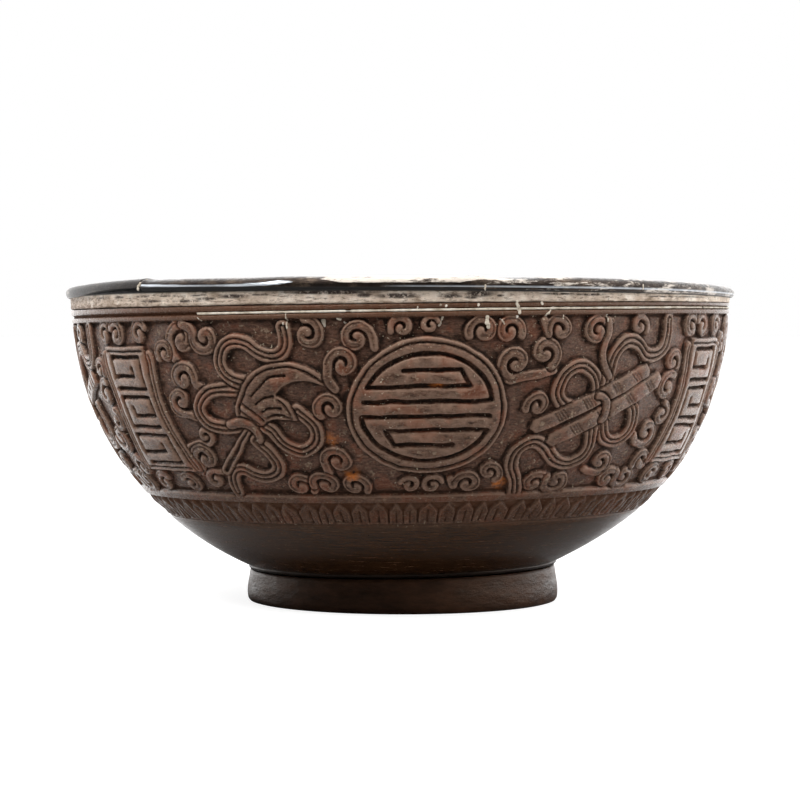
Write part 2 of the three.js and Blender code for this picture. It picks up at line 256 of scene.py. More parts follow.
def scroll(angle, x, y, size, start, turn, tail):
    """A scroll: a broad flat band that winds in to a knob, with a tail that leads into it."""
    radius = SCROLL_SPREAD * size
    width = SCROLL_BAND * radius
    bends = np.linspace(0, 1, 30)
    round_it = math.radians(start) + turn * bends * SCROLL_TURNS * 2 * math.pi
    reach = radius - width / 2 - (radius - width / 2 - SCROLL_END) * bends ** 1.3
    coil = np.column_stack([x + reach * np.cos(round_it), y + reach * np.sin(round_it)])
    path = np.vstack([curve_through(tail + [tuple(coil[0])], 5)[:-1], coil]) if tail else coil
    raise_stroke(angle, path, width, top=-0.08, crown=0.1, straight=True)
    if radius > GROOVED_RADIUS:
        line = coil[1:20] + 0.16 * width * np.column_stack([np.cos(round_it), np.sin(round_it)])[1:20]
        cut_groove(angle, line, 0.2, 0.42)


# The turned bands above and below the frieze

def turned_bands():
    z = row_z
    profile = np.zeros_like(z)

    def band(low, high, depth, side=0.18):
        cut = depth * smooth((z - low) / side + 0.5) * smooth((high - z) / side + 0.5)
        profile[:] = np.minimum(profile, -cut)

    band(FRIEZE_LOW + 0.3, FRIEZE_HIGH, GROUND, 0.35)
    band(GROOVE_Z - 0.28, GROOVE_Z + 0.28, 0.5)
    band(BORDER_LOW, BORDER_HIGH, BORDER_DEPTH)
    band(16.7, 17.0, 0.3, 0.1)
    for line_z, depth in ((15.9, 0.08), (15.2, 0.05), (14.6, 0.1), (13.4, 0.04)):
        band(line_z - 0.09, line_z + 0.09, depth, 0.08)
    relief[:] = profile[:, None]


def lappet_border():
    """Pointed leaves standing side by side, each with a raised rim and a vein cut up its middle."""
    pitch = 2 * math.pi / LAPPETS
    top = BORDER_HIGH - 0.15
    rows = np.where((row_z > BORDER_LOW) & (row_z < top))[0]
    up = share(row_z[rows], BORDER_LOW, top)[:, None]
    wobble = sum(size * np.sin(count * column_angle) for size, count in ((0.12, 7), (0.1, 23), (0.06, 41)))
    across = np.abs((column_angle / pitch + wobble) % 1 - 0.5)[None, :] * pitch * row_r[rows][:, None]
    half = pitch * row_r[rows][:, None] / 2 - 0.1
    inside = half * np.clip((1 - up) / 0.45, 0, 1) - across
    leaf = smooth(inside / 0.22 + 0.3)
    rim = smooth((0.4 - inside) / 0.15)
    vein = smooth((0.25 - across) / 0.2) * smooth((0.7 - up) / 0.15)
    height = 0.4 + 0.1 * rim + 1.2 * stray_x[rows]
    relief[rows] = np.maximum(relief[rows], -BORDER_DEPTH + leaf * height - 0.36 * vein * leaf)


# The emblems and what surrounds them. Places are in millimetres on the wall, x to the right
# and y up from the middle of a field. A ribbon is its points and its width.

LEAF_RIBBONS = [
    ([(-3.2, 3.4), (-6, 3.4), (-8.8, 3.3), (-11.5, 2.2), (-12.9, 0), (-12.1, -2.3), (-9.7, -3.6),
      (-7, -3.7), (-5, -3.4)], 2.5),
    ([(-2.2, 4.4), (-3.6, 4.8), (-5.3, 5.4), (-6.7, 6.9), (-7.1, 8.8), (-6.1, 10.8), (-3.7, 11.85),
      (-1.2, 11.2), (0.6, 9.8), (2.3, 9.1), (4, 9.2), (5.3, 10.3), (5.7, 12), (5.5, 13.9)], 2.6),
    ([(6.4, -0.6), (7.4, -1.6), (8.6, -3), (9.0, -4.6), (8.5, -6.4), (7, -7.7), (5.3, -8.05),
      (3.4, -7.3), (1.9, -5.8), (1.1, -4.2), (-0.4, -3.2)], 2.6),
    ([(-2.4, -6.2), (-1.4, -7.2), (-0.2, -8.6), (0.6, -10.6), (0.1, -12.3), (-1.4, -13.4), (-3.2, -13.6),
      (-5, -12.7), (-6.5, -11.9), (-8, -12.0), (-9.2, -13.2), (-9.6, -15), (-9.5, -17)], 2.6),
]
SLAT_RIBBONS = [
    ([(-1.4, -1.0), (-3.6, -0.4), (-5.3, 1.0), (-5.6, 3.1), (-4.7, 5.2), (-2.6, 6.5), (-0.3, 6.2),
      (1.5, 4.8), (2.4, 2.9), (2.6, 0.8)], 2.6),
    ([(4.4, 3.4), (4.4, 5.6), (4.9, 7.9), (6.3, 9.9), (8.5, 10.9), (10.8, 10.2), (12.4, 8.6), (14.4, 8.0),
      (16.8, 8.7), (18.3, 10.8), (18.6, 14.4)], 2.6),
    ([(4.5, 4.6), (3.2, 6.4), (2.6, 8.3), (2.8, 10.3), (3.8, 12.4), (3.5, 14.4)], 1.3),
    ([(11.2, -0.2), (12.3, -2.4), (12.5, -5), (11, -7.1), (8.6, -7.8), (6.4, -6.8), (5.4, -5),
      (5.0, -3.4)], 2.6),
    ([(3.0, -4.6), (3.5, -7.6), (2.7, -10.4), (0.4, -11.9), (-2.2, -11.4), (-4.2, -9.5), (-5.9, -7.8),
      (-8.1, -7.0), (-10.4, -8.1), (-11, -10.4), (-10, -13), (-8.6, -15.4), (-8, -17.6)], 2.6),
]

# Scrolls: x, y, size, the angle at which the band starts, its turn (1 is anticlockwise), and then
# the points of a tail that leads into it
LEAF_SCROLLS = [
    (-14.8, 12.1, 2.8, 190, -1, (-16.0, 7.9), (-17.1, 9.5), (-17.4, 11.0)),
    (-9.8, 12.3, 2.5, 170, 1, (-14.6, 14.6), (-13.0, 14.1), (-12.2, 13.0)),
    (-15.6, 5.3, 2.6, 350, 1, (-11.5, 3.5), (-12.7, 4.2)),
    (-16.9, 1.2, 2.4, 280, -1, (-13.8, -1.8), (-15.2, -1.3)),
    (-12.9, -5.3, 1.7, 260, 1, (-17.4, -7.4), (-15.8, -6.9), (-14.2, -6.7)),
    (-14.4, -9.9, 2.7, 215, -1, (-15.6, -13.2)),
    (-13.6, -14.3, 1.9, 60, 1, (-11.4, -12.6)),
    (9.7, 12.7, 2.4, 100, -1),
    (12.1, -0.1, 2.3, 215, -1),
    (11.4, -10.3, 2.4, 190, -1, (9.2, -12.6)),
    (3.3, -15.5, 2.3, 330, 1),
    (8.0, -15.2, 2.3, 190, -1),
    (12.9, -15.6, 2.2, 330, 1),
]
SLAT_SCROLLS = [
    (-14.1, 7.3, 2.7, 265, -1, (-7.2, 6.0), (-9.4, 5.3), (-11.8, 5.1)),
    (-9.0, 8.9, 2.5, 300, 1),
    (-6.4, 12.9, 2.2, 200, -1, (-9.3, 14.6)),
    (1.2, 12.5, 2.4, 40, 1, (4.0, 14.3)),
    (10.9, 13.2, 1.9, 330, 1),
    (-8.9, -0.3, 2.1, 200, -1),
    (7.4, -11.8, 2.3, 250, 1, (4.4, -13.2), (5.5, -13.8)),
    (17.2, -6.2, 2.5, 240, 1, (13.9, -6.6), (14.7, -7.9)),
    (10.9, -15.8, 2.3, 330, 1),
    (15.3, -15.5, 2.3, 230, 1, (12.9, -14.2), (13.0, -16.4)),
    (18.8, -12.4, 2.3, 200, -1),
    (-5.0, -15.8, 2.2, 330, 1),
    (-0.7, -15.7, 2.2, 230, 1, (-3.0, -14.6), (-2.9, -16.4)),
]
ROUNDEL_SCROLLS = [
    (-11.9, 12.0, 2.3, 50, 1, (-8.9, 10.3), (-9.1, 12.0), (-9.7, 13.4)),
    (-14.4, 7.5, 2.5, 190, -1, (-15.6, 3.3), (-16.8, 5.2)),
    (-4.4, 13.6, 1.8, 200, -1),
    (0.4, 13.9, 1.4, 20, 1),
    (9.2, 12.8, 2.3, 200, -1),
    (13.8, 12.7, 2.3, 340, 1),
    (7.2, -15.4, 2.3, 190, -1, (4.4, -14.2)),
    (11.0, -13.0, 2.0, 300, 1),
    (-2.6, -15.5, 1.6, 160, -1),
    (1.2, -15.4, 1.7, 20, 1),
]
PANEL_SCROLLS = [
    (-7.0, 13.1, 2.1, 30, 1),
    (-2.6, 13.1, 2.1, 150, -1),
    (4.6, 13.2, 2.0, 30, 1),
    (10.9, 9.8, 2.0, 210, -1),
    (-12.0, 6.9, 2.1, 300, 1),
    (-11.8, 2.3, 2.4, 60, 1),
    (-10.8, -2.8, 2.0, 90, -1),
    (-3.8, -15.6, 2.1, 30, 1),
    (4.8, -15.5, 2.0, 150, -1),
]


def surround(angle, scrolls, ribbons=()):
    """Cuts the scrolls of a field and the ribbons that cross them."""
    for x, y, size, start, turn, *tail in scrolls:
        scroll(angle, x, y, size, start, turn, tail)
    for points, width in ribbons:
        raise_stroke(angle, points, width, lanes=1 if width < 2 else 3)


def leaf_fan(angle):
    """A palm-leaf fan with its tied handle."""
    raise_stroke(angle, [(-3.6, -4.2), (-6.5, -7.7), (-10.3, -12.1)], 1.5, lanes=2, end_width=2.1)
    outer = [(-5.5, -1.9), (-5.1, 0.4), (-4.1, 2.7), (-2.8, 4.6), (-0.6, 6.6), (1.9, 7.7), (5, 8.1),
             (7.8, 7.7), (10.4, 6.4), (12.5, 4.9), (14.1, 3.1)]
    inner = [(13.9, 2.6), (12.6, 3.4), (10.8, 4.3), (8.6, 4.7), (6.4, 4.6), (4.4, 3.8), (2.9, 2.6)]
    lobe = [(3.0, 2.3), (4.4, 1.3), (5.6, -0.2), (6.1, -2.1)]
    under = [(5.7, -2.4), (4.2, -2.2), (2.2, -2.1), (0.6, -2.5), (-0.9, -3.4), (-3.2, -2.6)]
    outline = np.vstack([curve_through(side, 4) for side in (outer, inner, lobe, under)])
    raise_shape(angle, outline, crown=0.08)
    rim = [(-4.6, -1.2), (-4.2, 0.6), (-3.1, 2.6), (-1.9, 4.2), (0.1, 5.9), (2.3, 6.8), (5, 7.2), (7.6, 6.8),
           (10, 5.6), (12, 4.2)]
    cut_groove(angle, curve_through(rim), 0.35, 0.5)
    cut_groove(angle, curve_through([(3.2, 1.4), (4.2, 0.4), (4.9, -0.8), (5.2, -1.9)]), 0.3, 0.45)
    veins = [
        [(-1.7, 2.2), (-0.6, 3.1), (0.7, 4.2), (2.0, 5.2), (3.4, 5.6), (5, 5.7)],
        [(-1.1, 0.7), (0, 1.4), (1.1, 1.9), (2.3, 2.2)],
        [(0, -0.7), (1.1, -0.1), (2.2, 0), (3.4, -0.1)],
        [(0.8, -1.7), (2, -1.2), (3.6, -1.3), (5, -2)],
    ]
    for vein in veins:
        cut_groove(angle, curve_through(vein), 0.25, 0.5, end_width=0.5)
    for line in ([(-3.8, 0.9), (-1.9, -0.6), (-0.1, -2.3)], [(-4.4, -0.4), (-2.6, -1.8), (-1, -3.1)]):
        cut_groove(angle, curve_through(line), 0.4, 0.45)
    knot = [(-6.6, -3.1), (-5, -2.6), (-3.4, -2.8), (-2.1, -3.9), (-1.5, -5.2), (-1.6, -6.1)]
    raise_stroke(angle, knot, 1.8, top=0.05, end_width=1.3)


def bar(angle, start, end, half_width):
    """A straight flat bar from start to end; gives the way along it and the way across."""
    start, end = np.array(start), np.array(end)
    run = (end - start) / math.hypot(*(end - start))
    side = np.array([-run[1], run[0]]) * half_width
    outline = [start + side, end + side, end + 0.5 * run, end - side, start - side, start - 0.9 * run]
    raise_shape(angle, np.array(outline), crown=0.08, trench=0.3)
    return run, side


def clappers(angle):
    """A pair of long wooden clappers, scored in bands and bound together."""
    for start, end in (((-8.6, -4.2), (13.9, 5.6)), ((-4.9, -6.9), (17.6, 4.0))):
        run, side = bar(angle, start, end, 1.45)
        for along in (0.17, 0.4, 0.66, 0.86):
            for line in range(3 if along > 0.5 else 4):
                middle = np.array(start) + (np.array(end) - start) * along + run * line * 0.55
                half = side * 0.7 - run * 0.35
                cut_groove(angle, [middle + half, middle - half], 0.22, 0.35)
    band = [(2.8, 1.3), (3.9, 1.1), (4.9, 0.1), (5.2, -1.3), (5.1, -2.6), (4.6, -3.3)]
    raise_stroke(angle, band, 1.4, top=0.1, end_width=1.5)


def leaned(points, degrees):
    """Points turned clockwise."""
    x, y = np.transpose(points)
    tilt = math.radians(degrees)
    return np.column_stack([x * math.cos(tilt) + y * math.sin(tilt), y * math.cos(tilt) - x * math.sin(tilt)])


def gourd(angle):
    """A double gourd on its stalk."""
    steps = np.linspace(0, 2 * math.pi, 40, endpoint=False)
    waist = 1 + 0.16 * np.cos(2 * steps)
    body = np.column_stack([np.sin(steps) * 4.6 * waist * (1 - 0.22 * np.cos(steps)), 7.2 * np.cos(steps)])
    raise_shape(angle, leaned(body, -28) + [0.8, 0.4], top=0.05, crown=0.35)
    cut_groove(angle, curve_through([(-1.8, 3.2), (0.6, 2.4), (3.2, 3.6)]), 0.35, 0.5)
    raise_stroke(angle, [(-2.6, 6.6), (-3.6, 8.4), (-5.2, 8.8)], 1.2, end_width=0.9)
    raise_stroke(angle, [(-4.6, -1.6), (-2, -2.9), (1, -3.0), (4.4, -1.2)], 1.7, top=0.1, lanes=2)


def sword(angle):
    """A sword in its scabbard."""
    raise_stroke(angle, [(-10.6, -5.6), (11.5, 4.8)], 2.6, crown=0.3, straight=True, end_width=3.0)
    cut_groove(angle, [(-10, -5.3), (10.6, 4.4)], 0.3, 0.4)
    raise_stroke(angle, [(10.8, 7.4), (12, 4.9), (13.2, 2.6)], 1.5, top=0.08)
    raise_stroke(angle, [(12.6, 5.3), (16.8, 7.2)], 2.0, straight=True)
    for line in range(6):
        place = 12.9 + 0.65 * line
        cut_groove(angle, [(place, 6.5 + 0.3 * line), (place + 0.5, 4.6 + 0.3 * line)], 0.22, 0.35)
    raise_stroke(angle, [(2.4, 1.7), (3.6, 0.6), (3.2, -0.9)], 1.5, top=0.1)


def lotus(angle):
    """A lotus flower on a bent stem."""
    stem = [(0.4, -2.6), (-2.2, -5.4), (-6.2, -8.2), (-10.3, -12.1)]
    raise_stroke(angle, stem, 1.3, lanes=2, end_width=1.7)
    lengthwise = np.linspace(0, 1, 9)
    swell = 1.75 * np.sin(math.pi * lengthwise ** 0.8)
    petal = np.vstack([np.column_stack([swell, 7.4 * lengthwise]),
                       np.column_stack([-swell, 7.4 * lengthwise])[-2:0:-1]])
    spine = [(0, 3.2), (0, 6.2)]
    flower_base = [0.8, -2.4]
    for lean in (80, -80, 52, -52, 26, -26, 0):
        raise_shape(angle, leaned(petal, lean) + flower_base, top=0.05, crown=0.3, trench=0.25)
        cut_groove(angle, leaned(spine, lean) + flower_base, 0.22, 0.3)


def flute(angle):
    """A flute with its finger holes."""
    start, end = np.array([-9.6, -5.2]), np.array([15.6, 5.6])
    run, side = bar(angle, start, end, 1.35)
    for along in (0.12, 0.3, 0.4, 0.5, 0.6, 0.7, 0.8):
        hole = start + (end - start) * along
        cut_groove(angle, [hole, hole + 0.1 * run], 0.9, 0.6)
    for along in (0.04, 0.2, 0.9, 0.95):
        middle = start + (end - start) * along
        cut_groove(angle, [middle + side * 0.8, middle - side * 0.8], 0.25, 0.35)
    raise_stroke(angle, [(2.8, 1.3), (4.4, 0.6), (4.9, -1.3), (4.4, -2.4)], 1.4, top=0.1)


def roundel(angle):
    """A raised oval disc with a thin rim, cut with two square-shouldered spirals that fill its halves."""
    steps = np.linspace(0, 2 * math.pi, 90, endpoint=False)
    oval = np.column_stack([np.cos(steps), np.sin(steps)])
    middle = [0, -0.4]
    raise_shape(angle, oval * [13.6, 12.4] + middle, trench=0.5)
    cut_groove(angle, np.vstack([oval, oval[:1]]) * [12.7, 11.5] + middle, 0.35, 0.45)
    over = np.radians(np.linspace(8, 156, 30))
    arc = np.column_stack([11.1 * np.cos(over), 9.7 * np.sin(over)])
    spiral = np.vstack([[(-10.6, 1.35)], arc, [(7.0, 4.0), (5.4, 6.7), (-4.2, 6.7)]])
    for half in (1, -1):
        cut_groove(angle, half * spiral + middle, 0.72, 0.8)
    surround(angle, ROUNDEL_SCROLLS)


def panel(angle, slant):
    """A raised waisted tablet with ridges down its sides, cut with a stack of square spirals."""
    def slanted(points, x=1):
        return [(px * x + slant * py, py) for px, py in points]

    side = [(6.2, 11), (6.4, 8.6), (6.1, 5), (5.7, 1), (5.8, -3), (6.5, -8), (6.9, -12.7)]
    ridge = [(7.4, 9.6), (7.8, 8.2), (7.2, 4.5), (6.8, 1), (6.9, -3), (7.6, -8), (8.0, -12)]
    for x in (-1, 1):
        raise_stroke(angle, slanted(ridge, x), 1.7, top=-0.05, lanes=2)
    left, right = curve_through(slanted(side, -1), 3), curve_through(slanted(side), 3)
    raise_shape(angle, np.vstack([left[::-1], right])[::-1], trench=0.3)
    cut_groove(angle, slanted([(-5.8, 10.1), (5.8, 10.1)]), 0.35, 0.45)
    cut_groove(angle, slanted([(-6.4, -11.9), (6.4, -11.9)]), 0.35, 0.45)
    for middle, half_width, x in ((6.3, 4.4, 1), (-0.9, 4.2, -1), (-8.1, 4.7, 1)):
        inner = half_width - 2.6
        spiral = [(-half_width, -2.8), (half_width, -2.8), (half_width, 2.8), (-half_width, 2.8),
                  (-half_width, -0.6), (inner, -0.6), (inner, 0.9)]
        cut_groove(angle, slanted([(px * x, py + middle) for px, py in spiral]), 0.62, 0.8)
    surround(angle, PANEL_SCROLLS)


def soften(values):
    """Rounds the carving's edges a little, as wear does."""
    values = 0.5 * values + 0.25 * (np.roll(values, 1, 1) + np.roll(values, -1, 1))
    values[1:-1] = 0.5 * values[1:-1] + 0.25 * (values[:-2] + values[2:])
    return values


turned_bands()
lappet_border()
uncut = relief.copy()
SURROUNDINGS = [(LEAF_SCROLLS, LEAF_RIBBONS), (SLAT_SCROLLS, SLAT_RIBBONS)]
EMBLEMS = [(leaf_fan, -24), (clappers, 32), (gourd, 93), (sword, 153.5), (lotus, 215), (flute, 276.5)]
for i, (emblem, field_angle) in enumerate(EMBLEMS):
    surround(field_angle, *SURROUNDINGS[i % 2])
    emblem(field_angle)
for i, motif_angle in enumerate(MOTIF_ANGLES):
    if i % 2:
        roundel(motif_angle)
    else:
        panel(motif_angle, -0.1 if i == 0 else 0)

# Strokes stop at the frieze's edges. All of the carving is worn a little, its ground is uneven, and
# its crest is how far each place stands out from what is round it.
off_frieze = (row_z > FRIEZE_HIGH) | (row_z < FRIEZE_LOW)
relief[off_frieze] = uncut[off_frieze]
relief = soften(relief)
relief += smooth((-0.6 - relief) / 0.2) * uneven(64, 3.0, 0.05)
crest = np.clip((relief - blurred(relief, 3)) / 0.3, -1, 1)


def sample(values, angle, y):
    """Reads a table of the carving at any places on the wall."""
    row = np.clip((y - CARVE_LOW) / CELL, 0, len(row_y) - 1.001)
    column = (angle / (2 * math.pi) * COLUMNS) % COLUMNS
    r0, c0 = row.astype(int), column.astype(int)
    fr, fc = row - r0, column - c0
    c0 = c0 % COLUMNS
    c1 = (c0 + 1) % COLUMNS
    return ((values[r0, c0] * (1 - fc) + values[r0, c1] * fc) * (1 - fr)
            + (values[r0 + 1, c0] * (1 - fc) + values[r0 + 1, c1] * fc) * fr)


# Meshes

def read_points(mesh):
    points = np.empty(len(mesh.vertices) * 3)
    mesh.vertices.foreach_get("co", points)
    return points.reshape(-1, 3) / MM


def turned(name, outline, steps, from_angle=-180, to_angle=180):
    """Rolls a grid round the bowl's axis, with a row at each (radius, height) of a closed outline.

    A spin does the same, but its time grows with the square of the steps. Gives the mesh, its points,
    and their radius, angle in degrees from the front towards +X, and height."""
    rows = outline if outline[0][0] == 0 else outline + outline[:1]
    shape = bmesh.new()
    bmesh.ops.create_grid(shape, x_segments=steps, y_segments=len(rows) - 1, size=1)
    mesh = bpy.data.meshes.new(name)
    shape.to_mesh(mesh)
    across, up, _ = (read_points(mesh) * MM).T
    row = np.rint((up + 1) / 2 * (len(rows) - 1)).astype(int)
    radius, height = np.array(rows)[row].T
    angle = np.radians(from_angle + (across + 1) / 2 * (to_angle - from_angle))
    places = np.column_stack([radius * np.sin(angle), -radius * np.cos(angle), height]) * MM
    mesh.vertices.foreach_set("co", places.ravel())
    shape.clear()
    shape.from_mesh(mesh)
    shape.verts.ensure_lookup_table()
    seam = np.flatnonzero((np.abs(across) > 0.99999) | (row == 0) | (row == len(rows) - 1))
    bmesh.ops.remove_doubles(shape, verts=[shape.verts[i] for i in seam], dist=1e-7)
    bmesh.ops.holes_fill(shape, edges=[edge for edge in shape.edges if edge.is_boundary])
    bmesh.ops.recalc_face_normals(shape, faces=shape.faces)
    shape.to_mesh(mesh)
    shape.free()
    points = read_points(mesh)
    x, y, z = points.T.copy()
    return mesh, points, np.hypot(x, y), np.degrees(np.arctan2(x, -y)), z


def push_out(points, distance):
    """Moves points away from the bowl's axis."""
    radius = np.maximum(1e-6, np.hypot(points[:, 0], points[:, 1]))
    points[:, :2] *= (1 + distance / radius)[:, None]


def hump(z, reach, start, full, still, end):
    """A push that grows from start to full and is gone again from still to end."""
    return reach * share(z, start, full) * share(z, end, still)


def settle(points):
    """Gives points the body's lean and swell and the rim's own line."""
    x, y, z = points.T.copy()
    sideways = x / np.maximum(1, np.hypot(x, y))
    lean = LEAN * x * (share(z, 0, LEAN_FULL_Z) - share(z, *LEVELLING))
    dip = RIM_DIP * share(z, DIP_FROM_Z, LIP_TOP_Z) * sideways ** 4
    swell = hump(z, *SWELL) * np.clip(sideways, 0, 1) ** 2
    points[:, 0] = x + FOOT_SHIFT * (1 - z / LIP_TOP_Z) + hump(z, *SWAY) + swell
    points[:, 2] = z + lean - dip


def write_points(mesh, points):
    settle(points)
    mesh.vertices.foreach_set("co", (points * MM).ravel())
    mesh.update()


def paint(mesh, **layers):
    """Keeps values for a material on the mesh, by name."""
    for name, values in layers.items():
        attribute = mesh.attributes.new(name, "FLOAT", "POINT")
        attribute.data.foreach_set("value", np.asarray(values, np.float32))


def spots(across, up, places):
    """1 inside any soft-edged oval of (across, up, half width, half height), 0 outside them all."""
    total = np.zeros_like(across)
    for x, y, half_width, half_height in places:
        away = np.hypot((across - x) / half_width, (up - y) / half_height)
        total = np.maximum(total, smooth(1.5 - away))
    return total


def by_angle(angle, table):
    """Reads a table of (degrees, value) at any angle."""
    return np.interp(angle, *zip(*table))


def add_object(name, data):
    thing = bpy.data.objects.new(name, data)
    bpy.context.collection.objects.link(thing)
    return thing


def add_piece(name, mesh, material, node):
    """Puts a finished piece in the scene, in place of its solid where it has one."""
    piece = add_object(name, mesh)
    mesh.materials.append(material)
    mesh.shade_smooth()
    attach(piece, "root")
    if node:
        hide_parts(node)
    return piece


def wall_rows(low_z, high_z, step):
    """Points up the outer wall, a step apart."""
    low_y, high_y = np.interp([low_z, high_z], TABLE_Z, TABLE_Y)
    y = np.linspace(low_y, high_y, max(2, round((high_y - low_y) / step) + 1))
    return [(float(np.interp(v, TABLE_Y, TABLE_R)), float(np.interp(v, TABLE_Y, TABLE_Z))) for v in y]


def bowl_rows(radius, depth, count):
    """Points down a bowl-shaped inner wall, ending on the axis."""
    swing = np.linspace(math.pi / 2, 0, count)
    z = WIDEST_Z - depth * np.cos(swing)
    r = radius * np.sqrt(np.clip(1 - np.cos(swing) ** CURVE, 0, 1))
    return [(float(a), float(b)) for a, b in zip(r, z)]


def rounded(corners, steps):
    """A smooth outline through the corners."""
    return [(float(r), float(z)) for r, z in curve_through(corners, steps)]


# Places where the wax has gone and the shell shows orange: degrees round the bowl, millimetres up
# the wall from the motifs' middle, and half width and half height in millimetres
BARE_SPOTS = [(19.1, -15.9, 1.3, 1.2), (-9.6, -13.5, 1.3, 0.9), (5.7, 3.7, 0.8, 0.4), (-12.6, -6.2, 0.9, 0.9)]
SPOT_RADIUS = 58  # of the wall there

# The heights between which the shell's rows are a step apart for its carving, and the triangles that
# its finished mesh keeps
FINE_LOW_Z = 16.4
FINE_HIGH_Z = 52.0
SHELL_TRIANGLES = 196000


def coconut_shell(material):
    outline = [(0, BASE_Z)] + wall_rows(BASE_Z, FINE_LOW_Z, 0.9)
    outline += wall_rows(FINE_LOW_Z, FINE_HIGH_Z, ROW_STEP)[1:]
    outline += wall_rows(FINE_HIGH_Z, COLLAR_Z, ROW_STEP * 0.6)[1:]
    outline += [(REBATE_RADIUS, COLLAR_Z), (REBATE_RADIUS, SHELL_TOP_Z), (INSIDE_RADIUS, SHELL_TOP_Z)]
    outline += bowl_rows(INSIDE_RADIUS, INSIDE_DEPTH, 14)
    mesh, points, radius, angle, z = turned("coconut_shell", outline, SPIN_STEPS)
    outside = (radius > wall_radius(z) - 0.02) & (z < COLLAR_Z + 0.01)
    y = np.interp(z, TABLE_Z, TABLE_Y)
    carved = outside & (y > CARVE_LOW)
    height = np.where(carved, sample(relief, np.radians(angle), y), 0)
    push_out(points, height * np.interp(z, TABLE_Z, np.gradient(TABLE_Z, TABLE_Y)))
    points[:, 2] -= height * np.interp(z, TABLE_Z, np.gradient(TABLE_R, TABLE_Y))
    write_points(mesh, points)
    lines = np.maximum(smooth((z - 52.2) / 0.2), 0.9 * smooth(1.2 - np.abs(z - 19.6) / 3.2))
    bare = [(place, up, math.degrees(half / SPOT_RADIUS), tall) for place, up, half, tall in BARE_SPOTS]
    paint(mesh,
          height=np.where(outside, 1 + height / GROUND, 0),
          crest=np.where(carved, sample(crest, np.radians(angle), y), 0),
          carved=smooth((z - 16.2) / 1.2) * outside,
          turned=0.75 * lines * outside,
          bare=spots(angle, y, bare) * outside)
    piece = add_piece("coconut_shell_carved", mesh, material, "coconut_shell")
    mesh.calc_loop_triangles()
    thin = piece.modifiers.new("fewer_faces", "DECIMATE")
    thin.ratio = min(1, SHELL_TRIANGLES / len(mesh.loop_triangles))


def pewter_liner(material):
    top = SHELL_TOP_Z + 0.1
    outline = bowl_rows(*LINER_OUT, 60)[::-1] + [(LINER_OUT[0], top), (LINER_IN[0], top)]
    outline += bowl_rows(*LINER_IN, 60)
    mesh, points, radius, angle, z = turned("pewter_liner", outline, 240)
    inner = radius < wall_radius(z, *LINER_IN) + 0.1
    hammer = np.abs(waves(np.radians(angle), 5, (9, 14, 23, 31)) * waves(z / 9, 6, (3, 5, 8)))
    fading = np.interp(z, [6, 12, 56, 58], [0, 1, 1, 0])
    push_out(points, -0.2 * inner * fading * hammer * share(radius, 0, 8))
    write_points(mesh, points)
    add_piece("pewter_liner_hammered", mesh, material, "pewter_liner")


# Dark corrosion on the collar: degrees round the bowl, height, half width in degrees, half height
COLLAR_PATCHES = [
    (-0.4, 55.8, 3.2, 0.42), (7.8, 55.75, 1.7, 0.35), (12.2, 56.15, 2.2, 0.6), (11.0, 55.5, 1.0, 0.25),
    (15.6, 55.8, 0.6, 0.2), (-11.0, 56.4, 7.0, 0.3), (-5.6, 55.9, 1.2, 0.35), (25.5, 56.2, 3.0, 0.2),
    (31.0, 56.1, 3.0, 0.22), (47, 55.9, 4.0, 0.16), (56, 56.0, 5.0, 0.14), (-36, 55.3, 3.0, 0.18),
    (-27, 55.9, 2.5, 0.3), (-32, 55.6, 2.0, 0.2), (-44, 55.4, 2.6, 0.15),
]


def rim_collar(material):
    inside = REBATE_RADIUS + 0.1
    low, top = COLLAR_Z + 0.12, SHELL_TOP_Z + 0.1
    face = [(60.8, low), (61.05, COLLAR_Z + 0.2), (61.15, 54.95), (61.12, 55.4), (61.18, 55.9),
            (61.2, 56.4), (61.2, 56.9), (60.8, top)]
    outline = rounded(face, 4) + [(inside, top), (inside, low)]
    mesh, points, radius, angle, z = turned("rim_collar", outline, 1500)
    turn = np.radians(angle)
    outer = smooth((radius - 60.5) / 0.3)
    pits = waves(turn, 11, (67, 101, 149, 211, 293)) * waves(z * 1.7, 12, (2, 3, 5))
    row_of_pits = smooth(1 - np.abs(z - 56.1) / 0.22) * share(angle, -66, -60) * share(angle, -16, -22)
    row_of_pits *= smooth(waves(turn, 14, (59, 97, 163, 241, 331, 431)) * 1.6 + 0.55)
    stain = np.maximum(spots(angle, z, COLLAR_PATCHES), row_of_pits)
    push_out(points, outer * (0.06 * pits - 0.03 - 0.08 * stain))
    edge = smooth((55.1 - z) / 0.5) * outer
    points[:, 2] += edge * (0.02 + 0.1 * waves(turn, 13, (11, 23, 41, 83, 127)))
    write_points(mesh, points)
    # The stains and brown are the collar's own; its top, tucked under the lip's roll, is painted black as
    # shade.
    paint(mesh,
          stain=stain,
          grime=smooth((z - 56.45) / 0.25),
          brown=share(angle, -40, -75) * share(z, 57.2, 56.0) + 0.5 * share(z, 55.3, 54.8))
    add_piece("rim_collar_corroded", mesh, material, "rim_collar")


# How far the lip's lower edge and its top stand above their even line, by degrees round the bowl
LIP_EDGE_LIFT = [
    (-180, 0), (-90, -0.2), (-69, -0.15), (-58, 0.5), (-51, 0.85), (-45.9, 0.95), (-45.5, 0.35),
    (-32, 0.18), (0, 0.15), (15, 0.02), (25, -0.08), (60, -0.05), (90, 0.12), (180, 0),
]
LIP_TOP_LIFT = [
    (-180, 0), (-75, 0), (-57, 0.2), (-46, 0.33), (-44, 0.02), (-25, -0.1), (-16, 0.12), (-9, -0.02),
    (6, 0), (9, 0.12), (13, 0.14), (16, -0.22), (20, -0.2), (24, 0.08), (35, 0.04), (60, 0), (180, 0),
]
